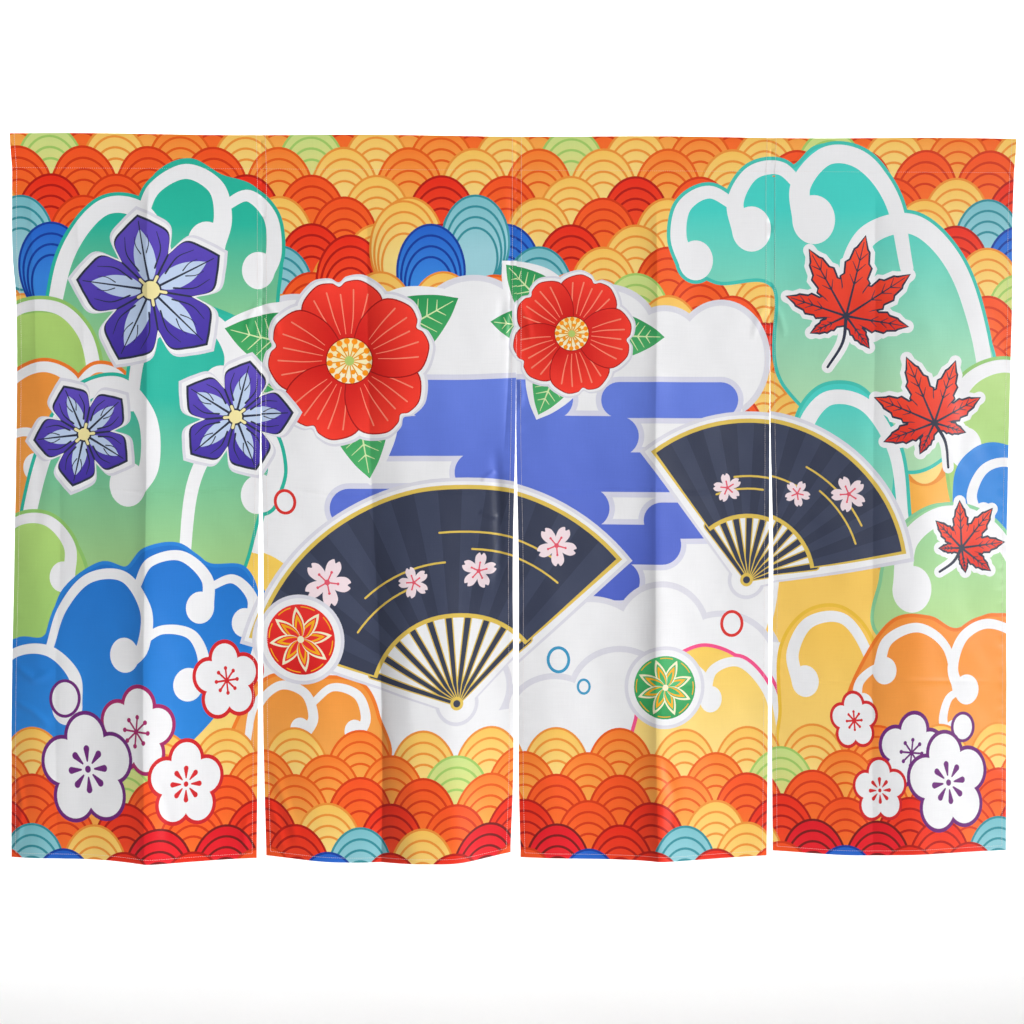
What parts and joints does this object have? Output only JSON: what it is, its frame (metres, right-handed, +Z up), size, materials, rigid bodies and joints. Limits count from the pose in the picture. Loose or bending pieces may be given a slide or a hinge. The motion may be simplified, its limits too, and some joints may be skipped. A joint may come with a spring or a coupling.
{
  "type": "four-panel noren doorway curtain",
  "caption": "Hanging doorway curtain of printed satin cloth: hemmed panels joined at the top under one flat rod pocket, with slits to walk through below.",
  "frame": {"origin": "middle of the top fold of the rod pocket, where the cloth lies over a rod", "axes": "+X along the curtain's width, to the right as seen from the printed side; +Y through the cloth, away from the printed side; +Z up, and the cloth hangs down along -Z"},
  "size_m": [1.682, 0.0613, 1.2047],
  "materials": {
    "heading_cloth": "printed satin, slight sheen",
    "printed_cloth": "printed satin, slight sheen",
    "thread": "matt polyester sewing thread"
  },
  "bodies": {
    "root": {"heading": "heading_cloth", "panel_1": "printed_cloth", "panel_2": "printed_cloth", "panel_3": "printed_cloth", "panel_4": "printed_cloth"}
  },
  "joints": []
}
